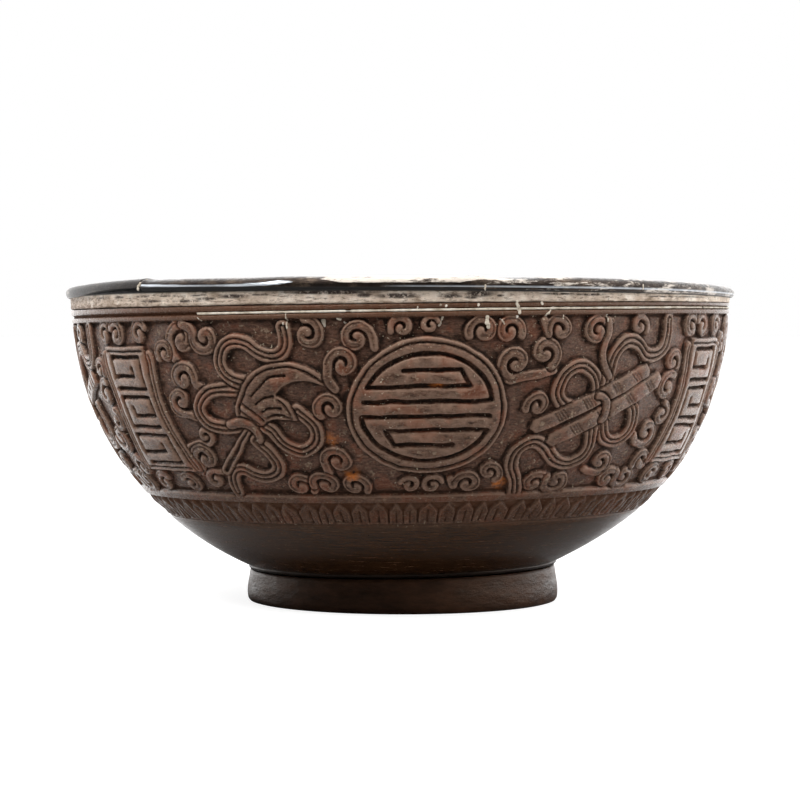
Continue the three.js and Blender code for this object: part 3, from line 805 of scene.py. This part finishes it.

# Heights on the lip by degrees round the bowl: the top of the painted shade under its roll, the middle
# and the half height of its bright streak, a painted highlight, and where its top turns pale, a painted
# reflection
LIP_SHADE_TOP = [
    (-180, 56.4), (-75, 56.2), (-62, 56.8), (-46, 57.3), (-44, 57.62), (-26, 57.35), (-16, 57.2),
    (0, 57.1), (7, 57.0), (14, 56.9), (40, 56.75), (90, 56.6), (180, 56.4),
]
STREAK_Z = [(-46, 57.95), (-42, 57.85), (-34, 57.62), (-26, 57.6), (-22, 57.75), (-19, 58.0), (-17, 58.05)]
STREAK_HALF = [(-46, 0.12), (-42, 0.2), (-30, 0.14), (-24, 0.22), (-19, 0.3), (-16.5, 0.0)]
PALE_TOP = [(-16, 58.9), (-9, 57.85), (9, 57.85), (13, 58.3), (22, 58.6), (60, 58.6)]


def rim_lip(material):
    """The strip rolled over the rim, dented along its length, with a lifted end at its seam."""
    face = [(61.4, 56.62), (61.62, 56.68), (61.8, 56.9), (61.93, 57.3), (61.99, 57.75), (61.9, 58.15),
            (61.65, 58.5), (61.25, 58.75), (60.65, 58.92), (59.8, 59.0), (59.0, 59.0), (58.2, 58.95),
            (57.4, 58.78), (56.85, 58.5), (56.5, 58.05), (56.38, 57.4), (56.4, 56.4)]
    back = [(56.9, 56.4), (56.98, 57.5), (57.5, 58.15), (60.4, 58.15), (61.1, 57.8), (61.38, 57.3)]
    ends = (LIP_SEAM + 0.15, LIP_SEAM + 359.85)
    mesh, points, radius, angle, z = turned("rim_lip", rounded(face, 3) + back, 1200, *ends)
    turn = np.radians(angle)
    outer = smooth((radius - 60.8) / 0.5)
    points[:, 2] += outer * smooth((57.75 - z) / 1.1) * by_angle(angle, LIP_EDGE_LIFT)
    points[:, 2] += smooth((z - 57.6) / 0.9) * smooth((radius - 58) / 2) * by_angle(angle, LIP_TOP_LIFT)
    dents = waves(turn, 22, (4, 7, 11, 17, 26, 41))
    ripples = waves(turn, 24, (37, 61, 97, 139)) * waves(z * 2, 25, (2, 3))
    push_out(points, -outer * (0.16 * smooth(dents * 1.2) + 0.05 * np.abs(ripples)))
    points[:, 2] -= smooth((z - 58.6) / 0.3) * 0.1 * smooth(waves(turn, 23, (13, 29, 47, 83)))
    write_points(mesh, points)
    # the left strip's darker tarnish, its own colour
    tarnish = 0.35 * (angle < LIP_SEAM) * share(angle, -85, -70)
    # black below the roll's edge, where it faces down into the dark: painted shade
    underside_shade = smooth((by_angle(angle, LIP_SHADE_TOP) - z) / 0.25 + 0.5)
    # a bright streak along the roll's ridge: painted highlight
    streak = smooth((by_angle(angle, STREAK_HALF) - np.abs(z - by_angle(angle, STREAK_Z))) / 0.12 + 0.5)
    streak *= (angle > -45.4) * (angle < -16.5)
    # a light line along the roll right of the front: painted highlight
    line = smooth(1 - np.abs(z - 57.35) / 0.16) * share(angle, -3, 2) * 0.7
    # pale on the top and at the far sides: painted reflection of the white surroundings
    top = 0.8 * smooth((z - by_angle(angle, PALE_TOP)) / 0.2) * share(angle, -17, -10)
    top *= 1 - 0.35 * share(angle, 12, 20)
    pale_front = np.maximum(top, 0.4 * share(angle, 12, 20))
    paint(mesh,
          grime=np.maximum(tarnish, underside_shade) * outer,
          rubbed=np.maximum(streak, line) * outer,
          pale=np.maximum(pale_front, 0.6 * share(np.abs(angle), 70, 88)))
    add_piece("rim_lip_folded", mesh, material, "rim_lip")


def foot_ring(material):
    outline = [(28.15, 0.0), (28.6, 0.12), (28.87, 0.5), (29.0, 1.1), (29.05, 1.8), (28.99, 2.8),
               (28.85, 3.8), (28.67, 4.8), (28.57, 5.6), (28.45, 6.2), (28.15, 6.25), (24.8, 4.9),
               (24.6, 4.6), (24.6, 0.5), (24.75, 0.12), (25.1, 0.0)]
    mesh, points, radius, angle, z = turned("foot_ring", outline, 480)
    low = smooth((z - 0.05) / 1.5) * (radius > 27)
    push_out(points, low * (0.05 * waves(np.radians(angle), 31, (2, 3, 5, 9)) - 0.05))
    write_points(mesh, points)
    add_piece("foot_ring_turned", mesh, material, "foot_ring")


def foot_lacquer(material):
    outline = [(28.15, 6.42), (28.6, 6.5), (28.85, 6.75), (28.9, 7.05), (28.8, 7.3), (25.6, 5.55),
               (25.6, 5.35)]
    mesh, points, radius, angle, _ = turned("foot_lacquer", outline, 480)
    push_out(points, (radius > 28.3) * (0.12 * waves(np.radians(angle), 41, (5, 8, 13, 21, 34)) - 0.1))
    write_points(mesh, points)
    add_piece("foot_lacquer_fillet", mesh, material, "foot_lacquer")


# Lime and solder that ran down from the rim: angle and height at the top of each run, the same at
# its end, and its half width
DRIPS = [
    (-18.1, 53.6, -18.0, 50.8, 0.14), (-12.1, 52.1, -12.3, 51.3, 0.5), (-9.9, 52.3, -9.5, 52.1, 0.25),
    (-8.8, 51.6, -8.7, 51.4, 0.25), (2.7, 54.0, 2.6, 53.3, 0.14), (6.2, 54.3, 6.2, 54.2, 0.2),
    (7.1, 54.05, 7.1, 54.0, 0.2), (6.5, 52.2, 6.0, 50.8, 0.22), (12.1, 54.3, 12.1, 54.15, 0.22),
    (13.0, 57.6, 13.0, 56.8, 0.18), (13.4, 52.1, 13.7, 50.6, 0.4), (15.8, 51.8, 16.3, 51.0, 0.14),
    (18.3, 54.6, 18.8, 52.9, 0.3), (18.4, 52.2, 18.4, 52.1, 0.25), (22.5, 54.5, 22.7, 54.3, 0.25),
    (24.6, 53.7, 23.3, 52.3, 0.2), (26.4, 52.3, 26.4, 51.7, 0.18), (34.9, 52.4, 34.9, 51.2, 0.16),
    (41.6, 58.1, 41.6, 57.0, 0.22), (-33.9, 52.8, -33.4, 52.3, 0.12), (-18.6, 51.6, -18.6, 51.4, 0.15),
    (-45.3, 58.85, -45.8, 58.2, 0.32), (-45.8, 58.2, -46.2, 57.4, 0.34),
]

# Heights and radii of the rim's face, above the shell
RIM_FACE = [(54.5, 61.1), (56.5, 61.2), (56.7, 61.6), (57.3, 61.93), (57.75, 61.99), (58.15, 61.9),
            (58.5, 61.65), (58.75, 61.25), (58.92, 60.65)]


def face_radius(angle, z):
    """Radius of the bowl's face, carving and rim included, at degrees round it and a height."""
    y = np.interp(z, TABLE_Z, TABLE_Y)
    wall = wall_radius(z) + sample(relief, np.radians(angle), y)
    return np.where(z < COLLAR_Z, wall, np.interp(z, *zip(*RIM_FACE)))


def lime_drips(material):
    """The pale line in the turned groove, lime residue that also stands for a painted highlight along it, the
    drops and runs on shell and lip, and the seam's burr.
    """
    groove = wall_radius(GROOVE_Z)
    corners = [(0.12, -0.2), (0.05, -0.08), (0.05, 0.08), (0.12, 0.2), (0.4, 0.2), (0.4, -0.2)]
    outline = [(groove - sunk, GROOVE_Z + up) for sunk, up in corners]
    # the pale line in the groove: lime residue, and a painted highlight along it
    mesh, points, _, angle, z = turned("rim_lime", outline, 900, -34, 118)
    wander = waves(np.radians(angle), 51, (31, 53, 89, 131, 197))
    gone = smooth((wander - 0.5) * 5)
    thin = 0.9 - 0.7 * gone - 0.25 * share(angle, 40, 70) + 0.25 * wander
    points[:, 2] = GROOVE_Z + (z - GROOVE_Z) * np.clip(thin, 0.15, 1.2)
    push_out(points, -0.15 * gone)
    write_points(mesh, points)
    shape = bmesh.new()
    shape.from_mesh(mesh)
    dice = np.random.default_rng(52)
    for top_angle, top_z, end_angle, end_z, half in DRIPS:
        steps = np.linspace(0, 1, max(4, round((top_z - end_z) / (0.45 * half))))
        degrees = top_angle + (end_angle - top_angle) * steps + dice.uniform(-0.4, 0.4, len(steps)) * half
        heights = top_z + (end_z - top_z) * steps + dice.uniform(-0.35, 0.35, len(steps)) * half
        sizes = half * dice.uniform(0.45, 1, len(steps))
        for turn, up, out, size in zip(np.radians(degrees), heights, face_radius(degrees, heights), sizes):
            drop = bmesh.ops.create_icosphere(shape, subdivisions=2, radius=size * MM)["verts"]
            bmesh.ops.scale(shape, vec=(1, 0.45, 1.2), verts=drop)
            bmesh.ops.translate(shape, vec=(0, -out * MM, up * MM), verts=drop)
            bmesh.ops.rotate(shape, cent=(0, 0, 0), matrix=Matrix.Rotation(turn, 3, "Z"), verts=drop)
            places = np.array([vert.co[:] for vert in drop]) / MM
            settle(places)
            for vert, spot in zip(drop, places):
                vert.co = spot * MM
    shape.to_mesh(mesh)
    shape.free()
    add_piece("rim_lime_drips_and_highlight", mesh, material, None)


# Materials

def colour(hex_value):
    """A linear colour from an sRGB hex value."""
    channels = [int(hex_value[i:i + 2], 16) / 255 for i in (1, 3, 5)]
    linear = [c / 12.92 if c <= 0.04045 else ((c + 0.055) / 1.055) ** 2.4 for c in channels]
    return (*linear, 1)


def fill(tree, node, inputs):
    """Sets a node's inputs, by name or number, to values or hex colours, or links them to outputs."""
    for name, value in inputs.items():
        if isinstance(value, bpy.types.NodeSocket):
            tree.links.new(value, node.inputs[name])
        else:
            node.inputs[name].default_value = colour(value) if isinstance(value, str) else value


def add_node(tree, kind, inputs=None, **settings):
    """Adds a node with its settings and inputs."""
    node = tree.nodes.new("ShaderNode" + kind)
    for name, value in settings.items():
        setattr(node, name, value)
    fill(tree, node, inputs or {})
    return node


def new_material(name, painted=()):
    """Gives a material, its nodes, places on it and the values painted on its mesh."""
    material = bpy.data.materials.new(name)
    material.use_nodes = True
    tree = material.node_tree
    values = [add_node(tree, "Attribute", attribute_name=value).outputs["Fac"] for value in painted]
    return material, tree, add_node(tree, "TexCoord").outputs["Object"], values


def patches(tree, place, size, detail=6, rough=0.6, stretch=(1, 1, 1)):
    """Random patches about size millimetres across."""
    spot = add_node(tree, "Mapping", {"Vector": place, "Scale": stretch}).outputs["Vector"]
    settings = {"Vector": spot, "Scale": 1000 / size, "Detail": detail, "Roughness": rough}
    return add_node(tree, "TexNoise", settings).outputs["Fac"]


def masked(tree, *parts):
    """Multiplies its parts. A part is a value, or (value, low, high), which goes from 0 to 1 between low
    and high, or (value, low, high, first, last), which goes from first to last there."""
    factors = []
    for part in parts:
        if isinstance(part, tuple):
            value, low, high, first, last = (*part, 0, 1)[:5]
            limits = {"Value": value, "From Min": low, "From Max": high, "To Min": first, "To Max": last}
            part = add_node(tree, "MapRange", limits).outputs["Result"]
        factors.append(part)
    product = factors[0]
    for factor in factors[1:]:
        product = add_node(tree, "Math", {0: product, 1: factor}, operation="MULTIPLY").outputs["Value"]
    return product


def layered(tree, base, *layers):
    """Lays colours over a base in turn; a layer is a colour and the parts of its mask."""
    for cover, *mask in layers:
        mix = add_node(tree, "Mix", {"Factor": masked(tree, *mask)}, data_type="RGBA")
        under, over = [i for i, socket in enumerate(mix.inputs) if socket.type == "RGBA"]
        fill(tree, mix, {under: base, over: cover})
        base = next(socket for socket in mix.outputs if socket.type == "RGBA")
    return base


def finish(tree, height, depth, strength, inputs):
    """Sets the surface's inputs and gives it a bump of a depth in millimetres."""
    bump = add_node(tree, "Bump", {"Height": height, "Distance": depth * MM, "Strength": strength})
    fill(tree, tree.nodes["Principled BSDF"], {**inputs, "Normal": bump.outputs["Normal"]})


WAX_TINT = "#ffe2cc"  # old wax and polish shine a little warm


def waxed_coconut():
    """Coconut shell, carved and waxed: near black in the cuts, where soil has stuck and shade is painted,
    paler along the edges from wear and a painted highlight, red where worn.
    """
    painted_on = ["height", "crest", "carved", "turned", "bare"]
    material, tree, place, painted = new_material("waxed_coconut_shell", painted_on)
    height, crest, carved, turned_lines, bare = painted
    fibres = patches(tree, place, 0.9, 8, 0.8, (0.6, 0.6, 2.0))
    grit = patches(tree, place, 0.4, 3, 0.6, (0.5, 0.5, 1.4))
    worn = patches(tree, place, 5)
    dirt_and_shade_patches = patches(tree, place, 1.6)
    residue = patches(tree, place, 1.4, 8, 0.7)
    dust = patches(tree, place, 0.45, 2, 0.5)
    dusty_parts = patches(tree, place, 9)
    flaked = patches(tree, place, 0.8)
    scratches = patches(tree, place, 0.9, 8, 0.75, (0.25, 0.25, 3))
    carving = layered(
        tree, "#5e4135",
        ("#462f26", (height, 0.0, 0.4)),
        ("#624739", (height, 0.4, 0.85)),
        ("#684d40", (height, 0.85, 1.0)),
        ("#2a180f", (fibres, 0.44, 0.6, 0, 0.8)),
        ("#170c07", (grit, 0.54, 0.66, 0, 0.65)),
        ("#96735a", (grit, 0.44, 0.34, 0, 0.35)),
        ("#84442a", (worn, 0.52, 0.6), (crest, -0.3, 0.4, 0.1, 0.6)),
        # paler along the top edges of the strokes: wear, and a painted highlight
        ("#987b69", (crest, 0.12, 0.5, 0, 0.6)),
        # near black at the foot of the walls and in the grooves: dirt, and painted shade
        ("#0c0604", (crest, -0.12, -0.5), (dirt_and_shade_patches, 0.4, 0.55, 0.4, 0.92)),
        ("#b09a82", (crest, -0.12, 0.05), (crest, 0.32, 0.12), (residue, 0.56, 0.64, 0, 0.6)),
        ("#c4b59e", (dust, 0.68, 0.72), (dusty_parts, 0.42, 0.58, 0, 0.9)),
        ("#c06f33", bare, (flaked, 0.36, 0.55)),
        ("#4e2f1c", turned_lines))
    polish = masked(tree, (scratches, 0.3, 0.7, 0.1, 0.32))
    scuffs = masked(tree, (patches(tree, place, 1.3, 6, 0.7), 0.3, 0.7, 0.16, 0.36))
    gloss = add_node(tree, "Mix", {"Factor": carved, "A": polish, "B": scuffs}, data_type="FLOAT")
    gloss_and_cuts = {0: gloss.outputs["Result"], 1: masked(tree, (crest, -0.05, -0.4, 0, 0.9))}
    grain = patches(tree, place, 0.9, 10, 0.75, (0.6, 0.6, 1.6))
    finish(tree, masked(tree, grain, (carved, 0, 1, 0.2, 1)), 0.25, 0.7, {
        "Base Color": layered(tree, "#1d1108", ("#4a2e19", (scratches, 0.35, 0.65)), (carving, carved)),
        "Roughness": add_node(tree, "Math", gloss_and_cuts, operation="MAXIMUM").outputs["Value"],
        "Specular IOR Level": 0.35,
        "Specular Tint": WAX_TINT})
    return material


def hammered_pewter():
    """Thin hammered pewter, dull grey and mottled by tarnish."""
    material, tree, place, _ = new_material("dull_hammered_pewter")
    tarnish = patches(tree, place, 6, 8, 0.65)
    finish(tree, tarnish, 0.05, 0.5, {
        "Base Color": layered(tree, "#4f4b46", ("#8a857e", (tarnish, 0.3, 0.7))),
        "Roughness": masked(tree, (patches(tree, place, 3), 0.3, 0.7, 0.3, 0.57)),
        "Metallic": 0.9})
    return material


def corroded_pewter():
    """Pewter gone pale and dull with corrosion: cream, pitted, dark where soil has stuck, and black at its
    top as painted shade under the lip.
    """
    material, tree, place, painted = new_material("corroded_pewter", ["stain", "grime", "brown"])
    stain, grime, brown = painted
    cloud = patches(tree, place, 2.6)
    pits = patches(tree, place, 0.6, 8, 0.75, (0.4, 0.4, 1.5))
    finish(tree, pits, 0.3, 1.0, {
        "Base Color": layered(
            tree, "#b5a08c",
            ("#dccab8", (cloud, 0.32, 0.5)),
            ("#f3e8da", (cloud, 0.5, 0.68)),
            ("#75614f", (pits, 0.52, 0.6, 0, 0.85)),
            ("#7c6450", brown, (pits, 0.36, 0.56)),
            ("#382c24", stain, (patches(tree, place, 0.9, 8, 0.75), 0.38, 0.5)),
            # black at the top, under the lip: painted shade
            ("#0b0706", grime)),
        "Roughness": 0.6,
        "Metallic": 0.3})
    return material


def tarnished_pewter():
    """Rolled pewter: brown tarnish on its face, black under its roll as painted shade, bright along its ridge
    as a painted highlight, and pale on its top and sides as a painted reflection.
    """
    material, tree, place, painted = new_material("tarnished_pewter", ["grime", "rubbed", "pale"])
    grime, rubbed, pale = painted
    cloud = patches(tree, place, 4, 8, 0.65)
    worn = patches(tree, place, 2.2, 8, 0.75, (0.4, 0.4, 1.8))
    flecks = masked(tree, (patches(tree, place, 0.5, 5, 0.7, (0.6, 0.6, 1.5)), 0.45, 0.62, 0, 0.7))
    patchy = add_node(tree, "Math", {0: pale, 1: 0.3, 2: worn}, operation="MULTIPLY_ADD")
    reflection_patches = masked(tree, (patchy.outputs["Value"], 0.63, 0.72))
    # rough and not metallic where the shade is painted, so that it stays black
    shade_and_flecks = {0: masked(tree, (grime, 0, 1, 0.3, 0.85)), 1: masked(tree, (flecks, 0, 1, 0.3, 0.6))}
    finish(tree, worn, 0.2, 1.0, {
        "Base Color": layered(
            tree, "#130e0b",
            ("#2a211b", (cloud, 0.3, 0.5)),
            ("#574a3e", (cloud, 0.5, 0.72)),
            ("#1a120e", flecks),
            # pale where the painted reflection lies on the top and sides
            ("#bdb2a6", reflection_patches),
            # bright along the ridge: painted highlight
            ("#e3e9f0", rubbed, (worn, 0.3, 0.5, 0.5, 1)),
            # black under the roll: painted shade, together with the left strip's tarnish
            ("#0d0907", grime)),
        "Roughness": add_node(tree, "Math", shade_and_flecks, operation="MAXIMUM").outputs["Value"],
        "Metallic": masked(tree, (grime, 0, 1, 1, 0), (reflection_patches, 0, 1, 0.85, 0.25))})
    return material


def lime_solder_and_highlight():
    """Chalky lime and dull drops of solder, off-white with grey and yellowish patches; its line in the groove
    also stands for a painted highlight.
    """
    material, tree, place, _ = new_material("lime_solder_and_highlight")
    cloud = patches(tree, place, 1.5)
    chalk = layered(tree, "#9c8c78", ("#d6cab8", (cloud, 0.3, 0.5)), ("#efe8dc", (cloud, 0.5, 0.7)))
    finish(tree, patches(tree, place, 0.5), 0.05, 0.5, {"Base Color": chalk, "Roughness": 0.7})
    return material


def dark_polish(name, dark, light, roughness):
    """Dark turned wood or lacquer putty under old polish: faint rings of tone and a slightly wavy face."""
    material, tree, place, _ = new_material(name)
    tone = patches(tree, place, 5, 8, 0.65, (1, 1, 3))
    finish(tree, patches(tree, place, 6, 10, 0.65, (1, 1, 2.5)), 0.6, 0.6, {
        "Base Color": layered(tree, dark, (light, (tone, 0.3, 0.7))),
        "Roughness": masked(tree, (tone, 0.3, 0.7, roughness - 0.05, roughness + 0.15)),
        "Specular IOR Level": 0.2,
        "Specular Tint": WAX_TINT})
    return material


coconut_shell(waxed_coconut())
pewter_liner(hammered_pewter())
rim_collar(corroded_pewter())
rim_lip(tarnished_pewter())
lime_drips(lime_solder_and_highlight())
foot_ring(dark_polish("turned_dark_wood", "#2b1c14", "#4e3425", 0.34))
foot_lacquer(dark_polish("dark_lacquer_putty", "#0f0b09", "#231914", 0.3))

# The studio

WHITE = (1, 1, 1, 1)
FLOOR_HALF_SIZE = 40  # metres
SWEEP_WAY = (0.3, 1, 0)  # towards the white sweep behind the bowl

floor_mesh = bpy.data.meshes.new("floor")
floor_shape = bmesh.new()
bmesh.ops.create_grid(floor_shape, x_segments=1, y_segments=1, size=FLOOR_HALF_SIZE)
floor_shape.to_mesh(floor_mesh)
floor_shape.free()
floor = add_object("floor", floor_mesh)

# The floor reads white to the camera. Its glow in the bowl's gloss is painted light: white, apart from a
# painted shade under the bowl and the dark front of the studio.
floor_material, floor_tree, floor_place, _ = new_material("pale_floor")
rays = add_node(floor_tree, "LightPath").outputs
away = add_node(floor_tree, "VectorMath", {"Vector": floor_place}, operation="LENGTH")
behind = add_node(floor_tree, "VectorMath", {0: floor_place, 1: SWEEP_WAY}, operation="DOT_PRODUCT")
mirrored = masked(floor_tree, (away.outputs["Value"], 0.05, 0.13), (behind.outputs["Value"], -0.13, 0.03),
                  rays["Is Glossy Ray"], (rays["Is Camera Ray"], 0, 1, 1.6, 0))
seen = masked(floor_tree, (rays["Is Camera Ray"], 0, 1, 0, 0.85))
glow = add_node(floor_tree, "Math", {0: seen, 1: mirrored}, operation="MAXIMUM").outputs["Value"]
fill(floor_tree, floor_tree.nodes["Principled BSDF"], {
    "Base Color": "#acacac",
    "Roughness": 0.9,
    "Emission Color": WHITE,
    "Emission Strength": glow})
floor_mesh.materials.append(floor_material)

# A white sweep behind the bowl that fades towards the dark side of the studio in front of it
world = bpy.data.worlds.new("studio")
bpy.context.scene.world = world
world.use_nodes = True
sky = world.node_tree
direction = add_node(sky, "TexCoord").outputs["Generated"]
backwards = add_node(sky, "VectorMath", {0: direction, 1: SWEEP_WAY}, operation="DOT_PRODUCT")
rays = add_node(sky, "LightPath").outputs
lit = masked(sky, (backwards.outputs["Value"], -0.5, 0.25, 0.03, 2.6),
             (rays["Is Glossy Ray"], 0, 1, 0.24, 1.0))
glow = add_node(sky, "Math", {0: lit, 1: rays["Is Camera Ray"]}, operation="MAXIMUM").outputs["Value"]
fill(sky, sky.nodes["Background"], {"Color": WHITE, "Strength": glow})

# Square lamps that face the bowl: their place and size in metres, and their watts
BOWL_MIDDLE_Z = 0.03
for name, (x, y, z), size, watts in (
        ("key", (-0.45, -0.5, 0.95), 0.45, 12),
        ("fill", (0.7, -0.3, 0.6), 0.6, 5),
        ("top", (0.1, 0.2, 1.2), 0.9, 5)):
    light = bpy.data.lights.new(name, "AREA")
    light.size = size
    light.energy = watts
    lamp = add_object(name, light)
    lamp.location = (x, y, z)
    lamp.rotation_euler = (math.atan2(math.hypot(x, y), z - BOWL_MIDDLE_Z), 0, math.atan2(x, -y))

# The photograph's camera: focal length in its pixels, place in millimetres, and tilt down in degrees
FOCAL_PX = 2590
PHOTO_PX = 800
CAMERA_PLACE = (0, -484.8, 49.4)
CAMERA_TILT = 1.44
camera_data = bpy.data.cameras.new("camera")
camera_data.sensor_width = 36
camera_data.lens = camera_data.sensor_width * FOCAL_PX / PHOTO_PX
camera = add_object("camera", camera_data)
camera.location = [value * MM for value in CAMERA_PLACE]
camera.rotation_euler = (math.radians(90 - CAMERA_TILT), 0, 0)
bpy.context.scene.camera = camera
bpy.context.scene.view_settings.view_transform = "Standard"
